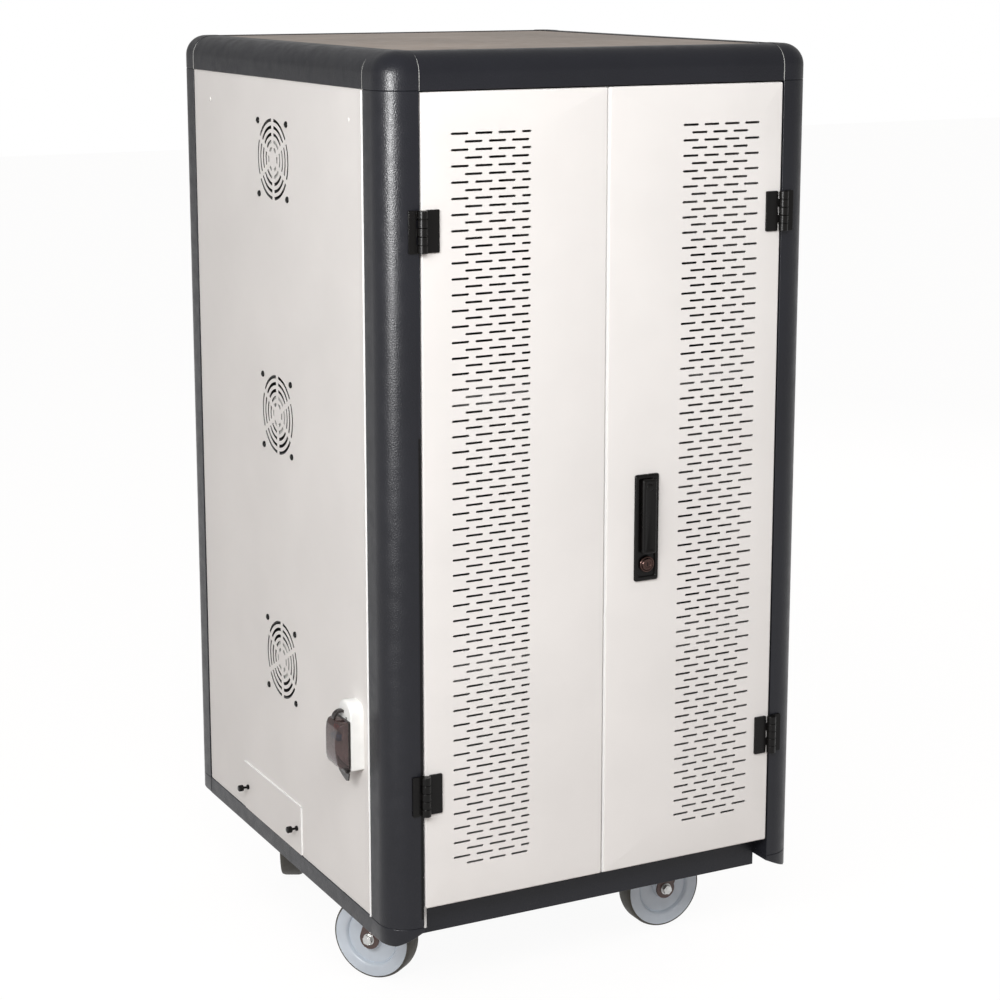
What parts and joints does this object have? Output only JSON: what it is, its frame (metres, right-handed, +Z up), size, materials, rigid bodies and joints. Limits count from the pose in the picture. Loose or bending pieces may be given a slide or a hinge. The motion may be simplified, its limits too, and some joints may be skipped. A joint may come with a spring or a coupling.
{
  "type": "device management cart",
  "caption": "Upright steel charging cabinet on swivel castors, with slotted double doors, swing handle lock, side fans, breaker box and divided device shelves.",
  "frame": {"origin": "on the floor, under the middle of the whole outline", "axes": "+Z up, -Y towards the doors, +X to the right seen from the front"},
  "size_m": [0.706, 0.769, 1.34],
  "materials": {
    "frame_paint": "charcoal powder coat, fine orange peel",
    "panel_paint": "light grey powder coat, satin",
    "top_paint": "taupe powder coat, satin",
    "inner_paint": "light grey paint",
    "black_fittings": "black, semi-gloss",
    "zinc": "zinc plated",
    "key_metal": "worn plated metal",
    "fan_plastic": "black moulded plastic",
    "white_plastic": "white moulded plastic",
    "smoked_cover": "clear smoked plastic",
    "blue_toggle": "blue plastic",
    "divider_plastic": "black plastic sheet",
    "castor_steel": "dark pressed steel",
    "wheel_rubber": "blue-grey wheel with a bonded tread"
  },
  "bodies": {
    "cabinet": {"post_front_left": "frame_paint", "post_front_right": "frame_paint", "post_rear_left": "frame_paint", "post_rear_right": "frame_paint", "bottom_corner_caps": "frame_paint", "top_corner_caps": "frame_paint", "top_side_rails": "frame_paint", "top_front_rail": "frame_paint", "top_rear_rail": "frame_paint", "bottom_side_rails": "frame_paint", "bottom_front_rail": "frame_paint", "bottom_rear_rail": "frame_paint", "door_stop": "frame_paint", "left_side_panel": "panel_paint", "right_side_panel": "panel_paint", "rear_panel": "panel_paint", "access_panel": "panel_paint", "panel_rivets": "panel_paint", "top_panel": "top_paint", "base_tray": "inner_paint", "rack_uprights": "inner_paint", "device_shelves": "inner_paint", "cable_walls": "inner_paint", "hinge_frame_leaves": "black_fittings", "thumbscrews": "black_fittings", "fan_screws": "black_fittings", "hinge_pins": "zinc", "castor_plates": "zinc", "castor_bolts": "zinc", "breaker_cover_pin": "zinc", "fan_frames": "fan_plastic", "breaker_base": "white_plastic", "breaker_body": "white_plastic", "power_strips": "white_plastic", "device_dividers": "divider_plastic"},
    "left_door": {"left_door": "panel_paint", "hinge_leaves_left_door": "black_fittings"},
    "right_door": {"right_door": "panel_paint", "hinge_leaves_right_door": "black_fittings", "lock_plate": "black_fittings", "lock_rod_guides": "zinc"},
    "lock_spindle": {"lock_spindle": "zinc"},
    "lock_handle": {"lock_handle": "black_fittings"},
    "key_cylinder": {"key_cylinder": "key_metal"},
    "upper_rod": {"lock_rod_upper": "zinc"},
    "lower_rod": {"lock_rod_lower": "zinc"},
    "fan_1": {"fan_impeller_1": "fan_plastic"},
    "fan_2": {"fan_impeller_2": "fan_plastic"},
    "fan_3": {"fan_impeller_3": "fan_plastic"},
    "breaker_cover": {"breaker_cover": "smoked_cover"},
    "breaker_toggle": {"breaker_toggle": "blue_toggle"},
    "fork_front_left": {"castor_fork_front_left": "castor_steel"},
    "wheel_front_left": {"castor_wheel_front_left": "wheel_rubber"},
    "fork_front_right": {"castor_fork_front_right": "castor_steel"},
    "wheel_front_right": {"castor_wheel_front_right": "wheel_rubber"},
    "fork_rear_left": {"castor_fork_rear_left": "castor_steel"},
    "wheel_rear_left": {"castor_wheel_rear_left": "wheel_rubber"},
    "fork_rear_right": {"castor_fork_rear_right": "castor_steel"},
    "wheel_rear_right": {"castor_wheel_rear_right": "wheel_rubber"}
  },
  "joints": [
    {"name": "left_door_hinge", "type": "hinge", "parent": "cabinet", "child": "left_door", "pos_m": [-0.256, -0.378, 0.73], "axis": [0, 0, -1], "range_deg": [0, 180]},
    {"name": "right_door_hinge", "type": "hinge", "parent": "cabinet", "child": "right_door", "pos_m": [0.302, -0.378, 0.73], "axis": [0, 0, 1], "range_deg": [0, 180]},
    {"name": "lock_turn", "type": "hinge", "parent": "right_door", "child": "lock_spindle", "pos_m": [0.088, -0.3715, 0.738], "axis": [0, -1, 0], "range_deg": [0, 90]},
    {"name": "handle_flip", "type": "hinge", "parent": "lock_spindle", "child": "lock_handle", "pos_m": [0.088, -0.3761, 0.749], "axis": [-1, 0, 0], "range_deg": [0, 35]},
    {"name": "upper_rod_slide", "type": "slide", "parent": "right_door", "child": "upper_rod", "axis": [0, 0, -1], "range_m": [0, 0.015]},
    {"name": "lower_rod_slide", "type": "slide", "parent": "right_door", "child": "lower_rod", "axis": [0, 0, 1], "range_m": [0, 0.015]},
    {"name": "key_turn", "type": "hinge", "parent": "right_door", "child": "key_cylinder", "pos_m": [0.088, -0.3715, 0.627], "axis": [0, 1, 0], "range_deg": [0, 90]},
    {"name": "breaker_cover_hinge", "type": "hinge", "parent": "cabinet", "child": "breaker_cover", "pos_m": [-0.3294, -0.2625, 0.3636], "axis": [0, -1, 0], "range_deg": [0, 110]},
    {"name": "breaker_toggle_pivot", "type": "hinge", "parent": "cabinet", "child": "breaker_toggle", "pos_m": [-0.337, -0.2625, 0.411], "axis": [0, -1, 0], "range_deg": [0, 30]},
    {"name": "fan_1_spin", "type": "hinge", "parent": "cabinet", "child": "fan_1", "pos_m": [-0.3035, 0.0105, 1.176], "axis": [1, 0, 0], "continuous": true},
    {"name": "fan_2_spin", "type": "hinge", "parent": "cabinet", "child": "fan_2", "pos_m": [-0.3035, 0.0105, 0.807], "axis": [1, 0, 0], "continuous": true},
    {"name": "fan_3_spin", "type": "hinge", "parent": "cabinet", "child": "fan_3", "pos_m": [-0.3035, 0.0105, 0.438], "axis": [1, 0, 0], "continuous": true},
    {"name": "castor_swivel_front_left", "type": "hinge", "parent": "cabinet", "child": "fork_front_left", "pos_m": [-0.215, -0.1985, 0.1], "axis": [0, 0, 1], "continuous": true},
    {"name": "castor_roll_front_left", "type": "hinge", "parent": "fork_front_left", "child": "wheel_front_left", "pos_m": [-0.23734, -0.16776, 0.0625], "axis": [-0.809, -0.5878, 0], "continuous": true},
    {"name": "castor_swivel_front_right", "type": "hinge", "parent": "cabinet", "child": "fork_front_right", "pos_m": [0.261, -0.1985, 0.1], "axis": [0, 0, 1], "continuous": true},
    {"name": "castor_roll_front_right", "type": "hinge", "parent": "fork_front_right", "child": "wheel_front_right", "pos_m": [0.223, -0.1985, 0.0625], "axis": [0, -1, 0], "continuous": true},
    {"name": "castor_swivel_rear_left", "type": "hinge", "parent": "cabinet", "child": "fork_rear_left", "pos_m": [-0.215, 0.2115, 0.1], "axis": [0, 0, 1], "continuous": true},
    {"name": "castor_roll_rear_left", "type": "hinge", "parent": "fork_rear_left", "child": "wheel_rear_left", "pos_m": [-0.19716, 0.24505, 0.0625], "axis": [-0.8829, 0.4695, 0], "continuous": true},
    {"name": "castor_swivel_rear_right", "type": "hinge", "parent": "cabinet", "child": "fork_rear_right", "pos_m": [0.261, 0.2115, 0.1], "axis": [0, 0, 1], "continuous": true},
    {"name": "castor_roll_rear_right", "type": "hinge", "parent": "fork_rear_right", "child": "wheel_rear_right", "pos_m": [0.2544, 0.24892, 0.0625], "axis": [-0.9848, -0.1736, 0], "continuous": true}
  ],
  "couplings": [
    {"joint": "upper_rod_slide", "follows": "lock_turn", "m_per_rad": 0.0095493},
    {"joint": "lower_rod_slide", "follows": "lock_turn", "m_per_rad": 0.0095493}
  ]
}
